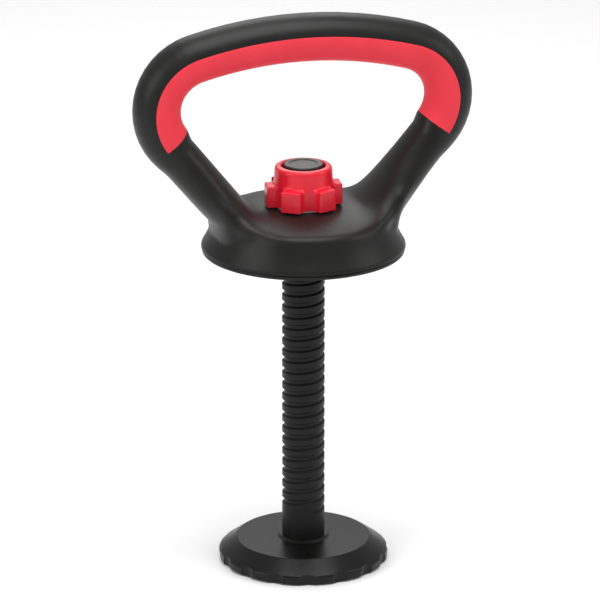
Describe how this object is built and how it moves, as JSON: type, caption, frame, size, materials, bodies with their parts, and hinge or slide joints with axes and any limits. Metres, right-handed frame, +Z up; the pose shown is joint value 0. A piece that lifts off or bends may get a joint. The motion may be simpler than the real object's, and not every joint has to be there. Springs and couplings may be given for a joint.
{
  "type": "plate-loading kettlebell handle",
  "caption": "Round-hubbed bow handle that screws down a threaded post on a disc foot to clamp weight plates, with a star lock knob and a soft grip.",
  "frame": {"origin": "centre of the surface that the foot stands on", "axes": "+Z up the post, +X along the bow of the handle, +Y across it"},
  "size_m": [0.2242, 0.133, 0.3708],
  "materials": {
    "moulded_black": "satin moulded plastic",
    "foot_black": "satin moulded plastic, fine grain",
    "post_black": "matt moulded plastic",
    "soft_red": "matt soft-touch elastomer",
    "knob_red": "semi-gloss moulded plastic",
    "pad_rubber": "matt rubber",
    "bush_plastic": "dry-running moulded plastic",
    "glide_white": "slippery plastic",
    "zinc_steel": "bright zinc plate"
  },
  "bodies": {
    "post": {"threaded_post": "post_black", "foot": "foot_black", "foot_pad": "pad_rubber", "tie_bolt": "zinc_steel", "foot_washer": "zinc_steel", "post_washer": "zinc_steel", "tie_nut": "zinc_steel", "post_cap": "post_black"},
    "clamp": {"clamp_ring": "moulded_black", "clamp_pad": "pad_rubber"},
    "handle": {"handle_body": "moulded_black", "soft_grip": "soft_red", "grip_carrier": "bush_plastic", "thread_bush": "bush_plastic", "bush_screws": "zinc_steel", "clamp_retainer": "bush_plastic", "retainer_screws": "zinc_steel", "glide_ring": "glide_white"},
    "thrust_washer": {"knob_washer": "bush_plastic"},
    "knob": {"star_knob": "knob_red"}
  },
  "joints": [
    {"name": "handle_travel", "type": "slide", "parent": "post", "child": "clamp", "axis": [0, 0, 1], "range_m": [-0.0647, 0.0533]},
    {"name": "handle_turn", "type": "hinge", "parent": "clamp", "child": "handle", "pos_m": [0, 0, 0.2159], "axis": [0, 0, 1], "range_deg": [-3060, 2520]},
    {"name": "knob_lift", "type": "slide", "parent": "handle", "child": "thrust_washer", "axis": [0, 0, 1], "range_m": [0, 0.0267]},
    {"name": "knob_turn", "type": "hinge", "parent": "thrust_washer", "child": "knob", "pos_m": [0, 0, 0.2446], "axis": [0, 0, 1], "range_deg": [0, 1260]}
  ],
  "couplings": [
    {"joint": "handle_travel", "follows": "handle_turn", "m_per_rad": 0.0012096},
    {"joint": "knob_lift", "follows": "knob_turn", "m_per_rad": 0.0012096}
  ]
}
